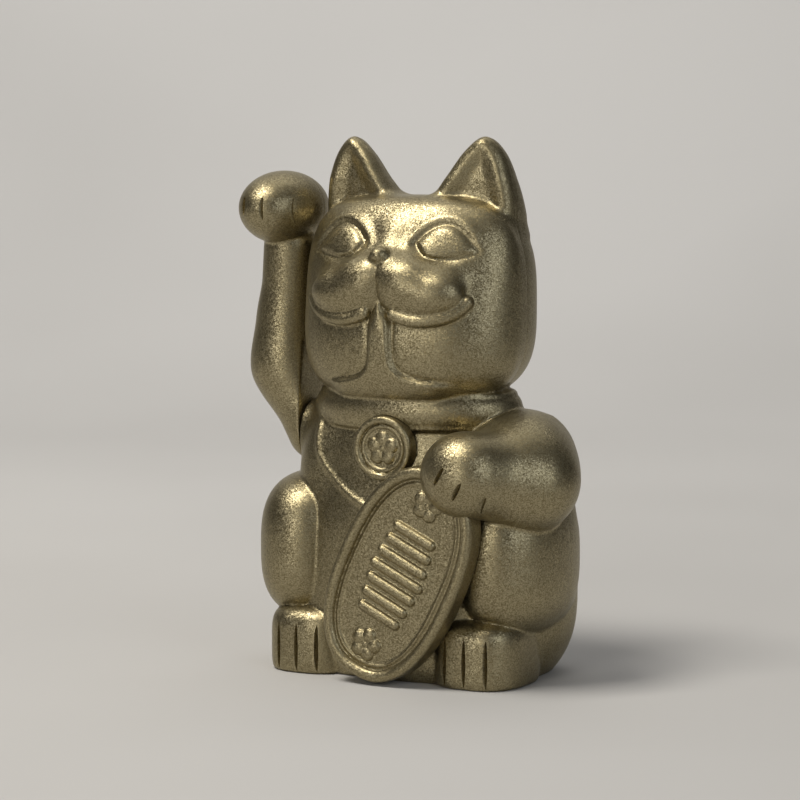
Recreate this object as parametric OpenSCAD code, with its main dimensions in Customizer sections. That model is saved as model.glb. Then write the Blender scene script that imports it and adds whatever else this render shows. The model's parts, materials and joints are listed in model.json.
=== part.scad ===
// Beckoning cat figurine with a battery driven waving arm.
// Millimetres. The cat faces -Y, +Z is up, the table is z = 0 and the two shells part at y = 0.

/* [Shells] */
// Wall thickness of the moulded shells
wall = 2.2; // [1.8:0.1:2.4]
// Half width of the lower body
body_half_w = 38; // [37:0.5:39]
// Half depth of the lower body
body_half_d = 27; // [26:0.5:28]
// Half width of the head
head_half_w = 33; // [32:0.5:34]
// Depth of the chin in front of the head's middle
head_front_d = 22; // [21:0.5:23]
// Lean of the face above the chin, as depth lost per height
face_lean = 0.28; // [0.22:0.02:0.32]
// Depth of the head behind its middle
head_back_d = 27; // [25:0.5:28]
// Height of the ear tips
ear_tip_z = 150; // [147:0.5:152]

/* [Raised arm] */
// Radius of the forearm
arm_r = 8.4; // [7.8:0.1:9]
// Clear space between the forearm and the head
arm_gap = 0.8; // [0.7:0.1:1.2]
// Height of the arm's pivot
pivot_z = 66; // [65:0.5:66.5]
// Width of the raised paw
paw_w = 22.5; // [20:0.5:23]

/* [Coin and medal] */
// Length of the oval coin
coin_len = 63; // [60:0.5:64]
// Width of the oval coin
coin_w = 37; // [35:0.5:38]
// Thickness of the oval coin
coin_t = 7.5; // [7:0.5:8]
// Lean of the oval coin in its own plane
coin_tilt = 26; // [22:1:30]
// Diameter of the medal
medal_d = 18; // [16:0.5:19]
// Thickness of the medal
medal_t = 4; // [3:0.5:4.5]

/* [Drive] */
// Diameter of the pivot axle
axle_d = 3; // [2.5:0.1:3.2]
// Radial clearance of the axle in its bushes
bush_gap = 0.05; // [0.03:0.01:0.08]
// Length from the pivot to the foot of the magnet
pendulum_len = 34; // [33:0.5:34]
// Diameter of the pendulum magnet
magnet_d = 10; // [8:0.5:11]
// Diameter of the counterweight
weight_d = 14; // [12:0.5:15]
// Outside diameter of the coil's bobbin
coil_d = 11.6; // [10:0.2:12]
// Thickness of the circuit board
board_t = 1.6; // [1:0.1:1.8]

/* [Battery and base] */
// Thickness of the base plate
plate_t = 2.6; // [2.4:0.1:3]
// Diameter of the battery cell
cell_d = 10.5; // [9.5:0.1:10.5]
// Length of the battery cell
cell_len = 44.5; // [42:0.5:44.5]
// Thickness of the battery door
door_t = 1.6; // [1.2:0.1:1.8]

/* [Fits] */
// Gap around the battery door
door_gap = 0.3; // [0.25:0.05:0.4]
// Gap around the base plate, the coin and the medal
fit_gap = 0.2; // [0.15:0.05:0.3]
// Shank diameter of the case and base screws
screw_d = 2.8; // [2.4:0.1:3]

/* [Hidden] */
$fn = 48;
gold = [0.66, 0.55, 0.30];
far = 200;

// Places along X of the limbs at the body's sides
haunch_x = body_half_w - 7;
hip_x = body_half_w - 14;
foot_x = body_half_w - 12;
shoulder_x = body_half_w - 7;
elbow = [body_half_w + 0.5, -11, 56.5];
wrist = [body_half_w - 9, -25, 59];
paw = [body_half_w - 11, -28, 59.5];
paw_r = [11, 9.5, 10.5];
collar_r = [27.2, 16.5];
toe_pitch = 6.2;
claw_pitch = 4.7;

// Places along X of the arm and the drive
arm_x = -(head_half_w + arm_gap + arm_r);
arm_face_x = 3.2 - body_half_w;
arm_face_top = 92;
boss_end_x = arm_face_x + 0.5;
arm_shoulder = [arm_x + 9, 0, pivot_z];
arm_elbow = [arm_x - 2, 0, pivot_z + 18];
arm_wrist = [arm_x + 1.2, -2, 118];
arm_paw = [arm_x - 0.2, -3.5, 129.5];
hub_r = 4.4;
hub_end_x = arm_x + 3.2;
axle_r = axle_d / 2;
axle_x0 = hub_end_x + 1;
lever_x = -3;
upright_x = [-19, 14];
upright_t = 2.5;
eye_r = 5;
clip_x = upright_x[1] + upright_t / 2 + 1.4;
axle_x1 = clip_x + 2.6;

// Heights of the stack on the base plate
box_top = 17;
frame_t = 2;
board_z = box_top + frame_t;
bobbin_z = board_z + board_t;
bobbin_h = pivot_z - pendulum_len - 1.4 - bobbin_z;
magnet_h = 3;
magnet_z = pivot_z - pendulum_len;

// Battery box
cell_y = 9.8;
cell_z = door_t + 1.4 + cell_d / 2 + 0.3;
box_w = cell_len / 2 + 1.6;
box_d = cell_d / 2 + 0.6;
box_wall = 1.4;

// Coin and medal seats
coin_c = [8.2, -23.7, 31];
coin_a = coin_len / 2;
coin_b = coin_w / 2;
medal_c = [0, -19.6, 64.6];
peg_r = 1.5;
peg_gap = 0.1;

// Screws
screw_r = screw_d / 2;
pilot_gap = 0.06;
boss_r = screw_r + 2.2;
case_xz = [[-30, 38], [30, 38], [0, 108]];
case_head_y = 12;
case_tip_y = -9;
base_x = body_half_w - 10;
base_xy = [[-base_x, -13], [base_x, -13], [-12, 21.2], [12, 21.2]];
base_boss_h = 12;
web_t = 2;

// Smooth joins and round forms given as distance fields
function smin(a, b, k) = let (h = max(k - abs(a - b), 0) / k) min(a, b) - h * h * k / 4;
function egg(p, c, r) =
    let (q = p - c, u = [q.x / r.x, q.y / r.y, q.z / r.z], k = norm(u))
    k < 0.01 ? -min(r) : norm(q) * (1 - 1 / k);
function block(p, c, r, n, m) =
    let (q = p - c, e = pow(abs(q.x / r.x), n) + pow(abs(q.y / r.y), n),
        k = pow(pow(e, m / n) + pow(abs(q.z / r.z), m), 1 / m))
    k < 0.01 ? -min(r) : norm(q) * (1 - 1 / k);
function limb(p, a, b, ra, rb) =
    let (d = b - a, h = min(max((p - a) * d / (d * d), 0), 1))
    norm(p - a - d * h) - ra - (rb - ra) * h;

// The seated body with haunches, feet and tail
function trunk(p) =
    smin(smin(block(p, [0, 3, 22], [body_half_w, body_half_d, 30], 2.4, 4),
        egg(p, [0, -1, 50], [body_half_w - 3.7, 20, 30]), 12), egg(p, [0, -3, 78], [26, 16.5, 14]), 6);
function haunch(p) = egg([abs(p.x), p.y, p.z], [haunch_x, -1.5, 33], [15.5, 22.5, 22]);
function hip(p) = block([abs(p.x), p.y, p.z], [hip_x, 8, 24], [18.5, 19, 24], 2.2, 2.8);
function legs(p, core) = smin(smin(core, hip(p), 6), haunch(p), 2);
function foot(p) = block([abs(p.x), p.y, p.z], [foot_x, -10, 7.5], [13, 15.2, 11.2], 2.6, 3.2);
function shoulder_pad(p) = egg(p, [-23, 0, pivot_z], [9.6, 13, 12]);
function tail(p) =
    smin(limb(p, [-8, 28, 8], [12, 28, 10], 6, 5.5), limb(p, [12, 28, 10], [24, 22, 26], 5.5, 4.5), 3);
function torso(p) =
    let (core = smin(trunk(p), shoulder_pad(p), 4))
    p.z > 56 ? core : smin(smin(legs(p, core), foot(p), 1.2), tail(p), 2);

// The head with its muzzle
function skull(p) =
    let (depth = p.y < -3 ? head_front_d - face_lean * max(p.z - 97, 0) : head_back_d)
    block(p, [0, -3, 103], [head_half_w, depth, p.z > 103 ? 30 : 27], p.y < -3 ? 2.3 : 2.6, 3.2);
function muzzle(p) = egg([abs(p.x), p.y, p.z], [9.6, 2 - head_front_d, 109], [13.8, 8.3, 9]);
function bridge(p) = limb(p, [0, 1 - head_front_d, 117.5], [0, 12.5 - head_front_d, 128], 4.2, 4);
function head(p) =
    p.y > -6 ? skull(p)
    : smin(smin(skull(p), bridge(p), 6), muzzle(p), 1.6);
function skin(p) = p.z > 92 ? head(p) : p.z < 68 ? torso(p) : smin(head(p), torso(p), 1);

// The raised arm
function waving_arm(p) =
    smin(smin(limb(p, arm_shoulder, arm_elbow, 9, arm_r + 0.7),
        limb(p, arm_elbow, arm_wrist, arm_r + 0.7, arm_r - 0.5), 4),
        egg(p, arm_paw, [paw_w / 2, 16.8, 10.5]), 1.6);
function arm_mid(z) = lookup(z, [for (p = [arm_shoulder, arm_elbow, arm_wrist]) [p.z, p.x]]);

cat_form = function (p) skin(p);
arm_form = function (p) waving_arm(p);

// A ray walked inwards until it meets the surface that lies depth below the form
function walk(f, o, d, depth, r, n = 0) =
    let (s = f(o + d * r) + depth)
    s < 0.02 || n > 70 || r < 0.4 ? max(r, 0.05) : walk(f, o, d, depth, r - max(0.8 * s, 0.02), n + 1);
function ray_dir(t, th, dome) =
    let (d = [cos(th) * cos(t) * dome.x, sin(th) * cos(t) * dome.x, sin(t) * dome.y]) d / norm(d);
function met(f, l, th, depth, dome) =
    let (o = [l.x, 0, l.y], d = ray_dir(l.z, th, dome)) o + d * walk(f, o, d, depth, 64);
function front_y(x, z, y = -48, n = 0) =
    let (s = skin([x, y, z])) s < 0.02 || n > 70 ? y : front_y(x, z, y + max(0.8 * s, 0.02), n + 1);
function back_y(x, z, y = 48, n = 0) =
    let (s = skin([x, y, z])) s < 0.02 || n > 70 ? y : back_y(x, z, y - max(0.8 * s, 0.02), n + 1);
function paw_front(x, z, y = -40, n = 0) =
    let (s = waving_arm([x, y, z])) s < 0.02 || n > 70 ? y : paw_front(x, z, y + max(0.8 * s, 0.02), n + 1);

// Levels are [axis x, height, tilt of the rays]
shell_dome = [30, 11];
shell_heights = concat([0, 1.2, 3.2, 6, 10, 13.6], [for (z = [16:1.8:23.2]) z], [for (z = [27:5.4:93]) z],
    [for (z = [96:2.1:121.6]) z]);
shell_levels = concat([for (z = shell_heights) [0, z, 0]], [for (t = [16, 34, 52, 70]) [0, 121.6, t]]);
cavity_cols = 24;
cavity_levels = concat([for (z = [-2, 2.5]) [0, z, 0]], [for (z = [8:10:117]) [0, z, 0]],
    [for (t = [24, 52]) [0, 118, t]]);
arm_dome = [14, 10];
arm_heights = concat([for (h = [-8.8, -8, -6.4, -4, -1]) pivot_z + h], [for (z = [pivot_z + 3.4:4.6:116]) z],
    [for (z = [117.2:2.4:129.6]) z]);
arm_levels = concat([for (z = arm_heights) [arm_mid(z), z, 0]],
    [for (t = [15, 32, 50, 68]) [arm_mid(130), 130, t]]);

// A closed form between two angles, flat on the plane y = 0
module half_form(f, levels, dome, cols, from, to) {
    n = cols + 1;
    last = (len(levels) - 1) * n;
    ring = [for (l = levels, j = [0:cols]) met(f, l, from + (to - from) * j / cols, 0, dome)];
    top = met(f, [levels[len(levels) - 1].x, levels[len(levels) - 1].y, 90], from, 0, dome);
    sides = [for (i = [0:len(levels) - 2], j = [0:cols - 1], k = [0, 1])
        let (a = i * n + j) k == 0 ? [a, a + n, a + n + 1] : [a, a + n + 1, a + 1]];
    flat = [for (i = [0:len(levels) - 2]) [i * n + cols, (i + 1) * n + cols, (i + 1) * n, i * n]];
    crown = [for (j = [0:cols - 1]) [last + j, last + n, last + j + 1]];
    polyhedron(concat(ring, [top]), concat(sides, flat, crown, [[last + cols, last + n, last]],
        [[for (j = [0:cols]) j]]), convexity = 8);
}

// The hollow inside the shells, open at the table
module cavity(depth) {
    cols = cavity_cols;
    levels = cavity_levels;
    last = (len(levels) - 1) * cols;
    ring = [for (l = levels, j = [0:cols - 1])
        let (q = met(cat_form, [0, max(l.y, 2.5), l.z], j * 360 / cols, depth, shell_dome))
        [q.x, q.y, l.y < 0 ? l.y : q.z]];
    top = met(cat_form, [0, 118, 90], 0, depth, shell_dome);
    sides = [for (i = [0:len(levels) - 2], j = [0:cols - 1], k = [0, 1])
        let (a = i * cols + j, b = i * cols + (j + 1) % cols)
        k == 0 ? [a, a + cols, b + cols] : [a, b + cols, b]];
    crown = [for (j = [0:cols - 1]) [last + j, last + cols, last + (j + 1) % cols]];
    polyhedron(concat(ring, [top]), concat(sides, crown, [[for (j = [0:cols - 1]) j]]), convexity = 8);
}

// An ear as a hull of balls, drawn in by inset
module ear(side, inset) {
    hull() {
        translate([side * 20.8, -1.2, ear_tip_z - 3.6]) sphere(3.6 - inset * 0.7, $fn = 12);
        translate([side * 25.2, -0.6, ear_tip_z - 11]) sphere(4.6 - inset, $fn = 12);
        translate([side * 24.4, -2, 124]) sphere(6 - inset, $fn = 14);
        translate([side * 23.6, 4.5, 124]) sphere(6 - inset, $fn = 14);
        translate([side * 10.4, -1.6, 129]) sphere(5.4 - inset, $fn = 14);
    }
}

module ear_hollow(side) {
    hull() {
        translate([side * 20.6, -5.4, ear_tip_z - 5.6]) sphere(1.2, $fn = 6);
        translate([side * 25.8, -7, 133]) sphere(1.2, $fn = 6);
        translate([side * 12.4, -7, 133]) sphere(1.2, $fn = 6);
    }
}

// The arm that rests on the coin, drawn in by inset
module resting_arm(inset) {
    neck = [shoulder_x - 9, 0, 68];
    shoulder = [shoulder_x + 1, -1, 60.5];
    chain = [[neck, 9], [shoulder, 13], [elbow, 12], [wrist, 9.5]];
    facets = inset > 0 ? 8 : 18;
    for (i = [0:len(chain) - 2])
        hull()
            for (ball = [chain[i], chain[i + 1]])
                translate(ball[0]) sphere(ball[1] - inset, $fn = facets);
    translate(paw) scale([for (r = paw_r) r - inset]) sphere(1, $fn = facets);
}

// A rolled collar round the neck
module collar() {
    translate([0, 0, 74.5])
        scale([1, collar_r.y / collar_r.x, 1])
            rotate_extrude($fn = 30) translate([collar_r.x, 0]) scale([3, 4.8]) circle(1, $fn = 8);
}

module eyes_and_nose() {
    translate([0, -head_front_d - 4, 118.8]) scale([3.8, 2.6, 2.8]) sphere(1, $fn = 12);
    for (s = [-1, 1])
        translate([s * 15.4, 8.8 - head_front_d, 121.4]) scale([8, 3.6, 4.2]) sphere(1, $fn = 16);
}

function on_front(x, z) = [x, front_y(x, z), z];
function on_paw(x, z) =
    let (u = (x - paw.x) / paw_r.x, v = (z - paw.z) / paw_r.z)
    [x, paw.y - paw_r.y * sqrt(max(1 - u * u - v * v, 0)), z];

// A rounded groove along points of the surface
module groove(pts, r) {
    for (i = [0:len(pts) - 2])
        hull()
            for (p = [pts[i], pts[i + 1]], out = [0, 2])
                translate(p - [0, out, 0]) sphere(r, $fn = 6);
}

chin_points = [[3, 100], [3.6, 95], [6.5, 90], [12, 87], [18, 86.4]];

module face_lines() {
    groove([on_front(0, 116), on_front(0, 106.5)], 0.7);
    for (s = [-1, 1])
        groove([for (p = chin_points) on_front(s * p.x, p.y)], 0.7);
}

// A rounded ridge along points [x, z] of the front
module ridge(pts, r, sink) {
    for (i = [0:len(pts) - 2])
        hull()
            for (p = [pts[i], pts[i + 1]])
                translate(on_front(p.x, p.y) + [0, sink, 0]) sphere(r, $fn = 8);
}

lip_points = [[2.6, 103], [6, 100.2], [12, 98.9], [18.5, 100.8], [24.6, 107.6]];

module lip_and_bib() {
    for (s = [-1, 1])
        ridge([for (p = lip_points) [s * p.x, p.y]], 1.6, 0.4);
    ridge([[-24.6, 68], [-23.8, 61.5], [-17.4, 55], [-5.8, 48.4]], 0.9, 0.1);
}

module paw_lines() {
    for (s = [-1, 1], i = [-1:1], x = s * foot_x + i * toe_pitch)
        groove([on_front(x, 11), on_front(x, 3.5)], 0.8);
    for (i = [-1:1], x = paw.x + 1.4 + i * claw_pitch, z = paw.z + 1.5 - i * 3.2)
        groove([on_paw(x, z), on_paw(x - 1.6, z - 3), on_paw(x - 2.8, z - 5)], 0.8);
}

module coin_outline(grow) {
    polygon([for (i = [0:71]) let (c = cos(i * 5), s = sin(i * 5))
        [sign(c) * pow(abs(c), 0.84) * (coin_b + grow), sign(s) * pow(abs(s), 0.84) * (coin_a + grow)]]);
}

// Coin axes: local z points out of the belly
module at_coin() {
    translate(coin_c) rotate([90, 0, 0]) rotate([0, 0, -coin_tilt]) children();
}

module at_medal() {
    translate(medal_c) rotate([90, 0, 0]) children();
}

module tube_x(x0, x1, r) {
    translate([x0, 0, pivot_z]) rotate([0, 90, 0]) cylinder(r = r, h = x1 - x0);
}

// A rod along Y at [x, z]
module rod_y(p, y0, y1, r) {
    translate([p.x, y1, p.y]) rotate([90, 0, 0]) cylinder(r = r, h = y1 - y0, $fn = 16);
}

// The boss that faces the raised arm, one half on each shell
module shell_adds() {
    tube_x(boss_end_x, -24, 9);
}

module shell_cuts() {
    tube_x(boss_end_x - 1, -15, axle_r + 0.8);
}

// A boss on the base plate with a web out to the wall
module base_boss(p, angle) {
    translate([p.x, p.y, plate_t]) {
        cylinder(r = boss_r, h = base_boss_h, $fn = 16);
        rotate([0, 0, angle]) translate([0, -web_t / 2, 0]) cube([15, web_t, base_boss_h]);
    }
}

module base_pilot(p) {
    translate([p.x, p.y, plate_t - 1]) cylinder(r = screw_r + pilot_gap, h = base_boss_h - 1, $fn = 16);
}

module front_shell() {
    color(gold)
        difference() {
            union() {
                difference() {
                    union() {
                        half_form(cat_form, shell_levels, shell_dome, 34, -180, 0);
                        shell_adds();
                        resting_arm(0);
                        collar();
                        for (s = [-1, 1])
                            ear(s, 0);
                        rod_y([0, medal_c.z], medal_c.y, -14, 6.5);
                        eyes_and_nose();
                        lip_and_bib();
                    }
                    cavity(wall);
                    resting_arm(wall);
                    for (s = [-1, 1])
                        ear(s, wall);
                }
                intersection() {
                    cavity(wall / 2);
                    union() {
                        for (p = case_xz)
                            rod_y(p, -60, 0, boss_r);
                        base_boss(base_xy[0], 180);
                        base_boss(base_xy[1], 0);
                        at_coin() translate([0, 0, -5]) cylinder(r = 5, h = 10, $fn = 24);
                    }
                }
            }
            translate([-far / 2, 0, -1]) cube([far, far, far]);
            shell_cuts();
            for (s = [-1, 1])
                ear_hollow(s);
            face_lines();
            paw_lines();
            for (p = case_xz)
                rod_y(p, case_tip_y - 1.5, 1, screw_r + pilot_gap);
            for (p = [base_xy[0], base_xy[1]])
                base_pilot(p);
            at_coin() linear_extrude(coin_t + fit_gap) coin_outline(fit_gap);
            at_coin() translate([0, 0, -3]) cylinder(r = peg_r + peg_gap, h = 4, $fn = 24);
            at_medal() cylinder(r = medal_d / 2 + fit_gap, h = 12);
            at_medal() translate([0, 0, -3]) cylinder(r = peg_r + peg_gap, h = 4, $fn = 24);
        }
}

module rear_shell() {
    color(gold)
        difference() {
            union() {
                difference() {
                    union() {
                        half_form(cat_form, shell_levels, shell_dome, 16, 0, 180);
                        shell_adds();
                        resting_arm(0);
                        collar();
                        for (s = [-1, 1])
                            ear(s, 0);
                    }
                    cavity(wall);
                    resting_arm(wall);
                    for (s = [-1, 1])
                        ear(s, wall);
                }
                intersection() {
                    cavity(wall / 2);
                    union() {
                        for (p = case_xz)
                            rod_y(p, 0, 60, boss_r + 1.2);
                        for (p = [base_xy[2], base_xy[3]])
                            base_boss(p, 90);
                    }
                }
                for (x = [-14, 14], z = [38, 47])
                    hull()
                        for (h = [z, z + 9])
                            translate([x, back_y(x, h) - wall, h]) sphere(1.4, $fn = 8);
            }
            translate([-far / 2, -far, -1]) cube([far, far, far]);
            shell_cuts();
            for (p = case_xz) {
                rod_y(p, -1, case_head_y + 1, screw_r + 0.2);
                rod_y(p, case_head_y, 60, screw_r + 1.6);
            }
            for (p = [base_xy[2], base_xy[3]])
                base_pilot(p);
        }
}

// The arm's hollow above its hub
module arm_hollow() {
    hull() {
        translate(arm_elbow) sphere(arm_r - wall, $fn = 16);
        translate(arm_wrist) sphere(arm_r - wall - 0.6, $fn = 16);
    }
    hull() {
        translate(arm_wrist) sphere(arm_r - wall - 0.8, $fn = 16);
        translate(arm_paw) sphere(paw_w / 2 - wall - 1, $fn = 16);
    }
}

module arm_half(from, to) {
    difference() {
        half_form(arm_form, arm_levels, arm_dome, 14, from, to);
        arm_hollow();
        translate([arm_face_x, -far / 2, 0]) cube([far, far, arm_face_top]);
        tube_x(hub_end_x - 0.05, 0, hub_r + 0.05);
        for (x = [for (i = [-1:1]) arm_paw.x + 3 + i * claw_pitch], low = [124, 128])
            hull()
                for (z = [low, low + 4], out = [0, 2])
                    translate([x, paw_front(x, z) - out, z]) sphere(0.7, $fn = 6);
    }
}

module arm_front_half() {
    color(gold) arm_half(-180, 0);
}

module arm_rear_half() {
    color(gold) arm_half(0, 180);
}

// A traditional oval coin: rounded rim, chisel bars and two blossom stamps
module koban_coin() {
    color(gold)
        at_coin() {
            linear_extrude(coin_t - 1.2) coin_outline(-0.01);
            translate([0, 0, coin_t - 1.3])
                linear_extrude(1.3)
                    difference() {
                        coin_outline(-0.6);
                        coin_outline(-3);
                    }
            for (i = [-3:3])
                translate([abs(i) * 0.6 - 8, i * 4.2 - 0.6, coin_t - 1.3])
                    cube([16 - abs(i) * 1.2, 1.2, 0.8]);
            for (s = [-1, 1], k = [0:4])
                translate([0, s * (coin_a - 10.5), coin_t - 1.3])
                    rotate([0, 0, k * 72 + 90 * s]) translate([2.3, 0, 0])
                        cylinder(r = 1.6, h = 0.8, $fn = 24);
            translate([0, 0, -2.6]) cylinder(r = peg_r, h = 2.7, $fn = 24);
        }
}

// Stepped medal with a five petal blossom
module collar_medal() {
    r = medal_d / 2;
    color(gold)
        at_medal() {
            rotate_extrude()
                polygon([[0, 0], [r, 0], [r, medal_t - 1], [r - 0.8, medal_t], [r - 2.2, medal_t],
                    [r - 2.6, medal_t - 1], [0, medal_t - 1]]);
            for (k = [0:4])
                rotate([0, 0, k * 72 + 90]) translate([2.5, 0, medal_t - 1.2])
                    cylinder(r = 1.7, h = 0.8, $fn = 24);
            translate([0, 0, -2.6]) cylinder(r = peg_r, h = 2.7, $fn = 24);
        }
}

function plate_edge() = [for (j = [0:cavity_cols - 1])
    let (q = met(cat_form, [0, 2.5, 0], j * 360 / cavity_cols, wall + fit_gap, shell_dome)) [q.x, q.y]];

module door_outline(grow) {
    w = box_w + 1 + grow;
    d = box_d + 0.9 + grow;
    cut = 2.5;
    translate([0, cell_y])
        polygon([[-w, -d], [w, -d], [w, d - cut], [w - cut, d], [cut - w, d], [-w, d - cut]]);
    translate([door_screw_xy.x - 4.5 - grow, door_screw_xy.y - 3.2 - grow]) square([9 + 2 * grow, 8]);
}

door_screw_xy = [18, cell_y - box_d - 3.4];

module base_plate() {
    color([0.30, 0.28, 0.24])
        difference() {
            union() {
                linear_extrude(plate_t) polygon(plate_edge());
                translate([-box_w - box_wall, cell_y - box_d - box_wall, 0])
                    cube([2 * (box_w + box_wall), 2 * (box_d + box_wall), box_top]);
                for (x = upright_x)
                    translate([x - 4, -12, 0]) cube([8, 6, box_top]);
                translate([door_screw_xy.x, door_screw_xy.y, 0]) cylinder(r = 3.4, h = 9, $fn = 24);
            }
            translate([-box_w, cell_y - box_d, -1]) cube([2 * box_w, 2 * box_d, box_top - 0.4]);
            translate([0, 0, -1]) linear_extrude(1 + door_t + 0.05) door_outline(door_gap);
            translate([door_screw_xy.x, door_screw_xy.y, 0]) cylinder(r = 1.06, h = 7.5, $fn = 24);
            for (s = [-1, 1])
                translate([s * (box_w - 0.3) - 0.6, cell_y + 3.8, box_top - 3]) cube([1.2, 2.4, 4]);
            for (p = base_xy) {
                translate([p.x, p.y, -1]) cylinder(r = screw_r + 0.2, h = plate_t + 2, $fn = 24);
                translate([p.x, p.y, -1]) cylinder(r = screw_r + 1.3, h = 2.4, $fn = 24);
            }
            for (p = frame_screw_xy)
                translate([p.x, p.y, box_top - 6]) cylinder(r = 1.06, h = 7, $fn = 24);
        }
}

frame_screw_xy = [[upright_x[0] + 1.8, -9], [upright_x[1] - 1.8, -9]];

module battery_door() {
    color([0.30, 0.28, 0.24])
        difference() {
            union() {
                linear_extrude(door_t) door_outline(0);
                for (s = [-1, 1])
                    translate([s * 12 - 3, cell_y - 3, door_t]) cube([6, 6, 1.4]);
            }
            translate([door_screw_xy.x, door_screw_xy.y, -1]) cylinder(r = 1.2, h = 4, $fn = 24);
            translate([door_screw_xy.x, door_screw_xy.y, -1]) cylinder(r = 2.4, h = 1.8, $fn = 24);
            for (i = [-2:2])
                translate([-box_w + 3 + i * 1.6, cell_y - 5, -0.5]) cube([0.7, 10, 1]);
        }
}

// A cross recessed screw pointing along +Z with its head seat at z = 0
module screw(r, len, head_r, head_h) {
    difference() {
        union() {
            cylinder(r = r, h = len - 1, $fn = 24);
            translate([0, 0, len - 1]) cylinder(r1 = r, r2 = r * 0.4, h = 1, $fn = 24);
            translate([0, 0, -head_h]) cylinder(r = head_r, h = head_h, $fn = 24);
        }
        for (a = [0, 90])
            rotate([0, 0, a]) translate([-head_r * 0.6, -head_r * 0.14, -head_h - 0.1])
                cube([head_r * 1.2, head_r * 0.28, head_h * 0.6]);
    }
}

steel = [0.62, 0.62, 0.64];

module door_screw() {
    color(steel) translate([door_screw_xy.x, door_screw_xy.y, 0.8]) screw(1, 6, 2.2, 0.8);
}

module base_screws() {
    color(steel)
        for (p = base_xy)
            translate([p.x, p.y, 1.4]) screw(screw_r, 9.6, screw_r + 1.1, 1.2);
}

module case_screws() {
    color(steel)
        for (p = case_xz)
            translate([p.x, case_head_y, p.y]) rotate([90, 0, 0])
                screw(screw_r, case_head_y - case_tip_y, screw_r + 1.4, 1.6);
}

module frame_screws() {
    color(steel)
        for (p = frame_screw_xy)
            translate([p.x, p.y, board_z]) rotate([180, 0, 0]) screw(1, 7, 1.9, 1.2);
}

module board_screws() {
    color(steel)
        for (p = board_screw_xy)
            translate([p.x, p.y, bobbin_z]) rotate([180, 0, 0]) screw(1, board_t + frame_t - 0.4, 1.9, 1.2);
}

module battery_cell() {
    color([0.75, 0.45, 0.18])
        translate([-cell_len / 2, cell_y, cell_z]) rotate([0, 90, 0]) {
            cylinder(r = cell_d / 2, h = cell_len - 1.5);
            translate([0, 0, cell_len - 1.6]) cylinder(r = 2.7, h = 1.6, $fn = 32);
        }
}

// Bowed leaf at the flat end of the cell
module contact_leaf() {
    gap = box_w - cell_len / 2;
    t = 0.35;
    bow = [for (i = [0:12]) let (z = -5 + i * 10 / 12) [gap - t - (gap - t) * (1 - pow(z / 5, 2)), z]];
    color(steel) {
        translate([-cell_len / 2 - gap, cell_y + 3, cell_z])
            rotate([90, 0, 0]) linear_extrude(6)
                translate([gap, 0]) mirror([1, 0])
                    polygon(concat(bow, [for (i = [12:-1:0]) [bow[i].x + t, bow[i].y]]));
        translate([-box_w, cell_y + 4, cell_z + 4.4]) cube([t, 1.8, board_z + 1 - cell_z - 4.4]);
        translate([-box_w, cell_y - 3, cell_z + 4.4]) cube([t, 8.8, 0.6]);
    }
}

module contact_plate() {
    t = 0.5;
    color(steel) {
        translate([box_w - t, cell_y - 4, cell_z - 4.5]) cube([t, 8, 9]);
        translate([box_w - t, cell_y + 3.9, cell_z + 3]) cube([t, 1.9, board_z + 1 - cell_z - 3]);
        translate([cell_len / 2, cell_y, cell_z]) rotate([0, 90, 0])
            cylinder(r = 2, h = box_w - t - cell_len / 2, $fn = 24);
    }
}

board_x = [upright_x[0] + upright_t / 2 + 0.6, upright_x[1] - upright_t / 2 - 0.6];
board_y = [-5.6, 14.5];
board_screw_xy = [[board_x[0] + 3, board_y[1] - 2.6], [board_x[1] - 3, board_y[1] - 2.6]];

// Bracket with two uprights that carry the axle
module pivot_frame() {
    color([0.82, 0.80, 0.74])
        difference() {
            union() {
                translate([upright_x[0] - upright_t / 2, -12.5, box_top])
                    cube([upright_x[1] - upright_x[0] + upright_t, 28, frame_t]);
                for (x = upright_x) {
                    translate([x - upright_t / 2, -eye_r, box_top])
                        cube([upright_t, 2 * eye_r, pivot_z - box_top]);
                    tube_x(x - upright_t / 2, x + upright_t / 2, eye_r);
                }
            }
            tube_x(upright_x[0] - 5, upright_x[1] + 5, axle_r + 1.5);
            for (p = frame_screw_xy)
                translate([p.x, p.y, box_top - 1]) cylinder(r = 1.2, h = 5, $fn = 24);
            for (p = board_screw_xy)
                translate([p.x, p.y, box_top - 1]) cylinder(r = 1.06, h = 5, $fn = 24);
        }
}

module pivot_bushes() {
    color([0.80, 0.64, 0.32])
        for (x = upright_x)
            difference() {
                union() {
                    tube_x(x - upright_t / 2, x + upright_t / 2 + 0.6, axle_r + 1.45);
                    tube_x(x + upright_t / 2, x + upright_t / 2 + 0.8, axle_r + 2.6);
                }
                tube_x(x - 5, x + 5, axle_r + bush_gap);
            }
}

module pivot_axle() {
    color(steel)
        difference() {
            tube_x(axle_x0, axle_x1, axle_r);
            difference() {
                tube_x(clip_x, clip_x + 0.8, axle_r + 1);
                tube_x(clip_x - 1, clip_x + 2, axle_r - 0.5);
            }
        }
}

// Open ring snapped into the axle's groove
module axle_clip() {
    color(steel)
        difference() {
            tube_x(clip_x + 0.1, clip_x + 0.7, axle_r + 2);
            tube_x(clip_x - 1, clip_x + 2, axle_r - 0.45);
            translate([clip_x - 1, -axle_r * 0.55, pivot_z]) cube([3, axle_r * 1.1, 10]);
        }
}

module arm_hub() {
    color([0.82, 0.80, 0.74])
        difference() {
            tube_x(hub_end_x, arm_face_x - 0.4, hub_r);
            tube_x(axle_x0, 0, axle_r);
        }
}

lever_t = 4;
lever_w = 8;
weight_h = 8;
weight_z = magnet_z + magnet_h + 1.2;

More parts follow.
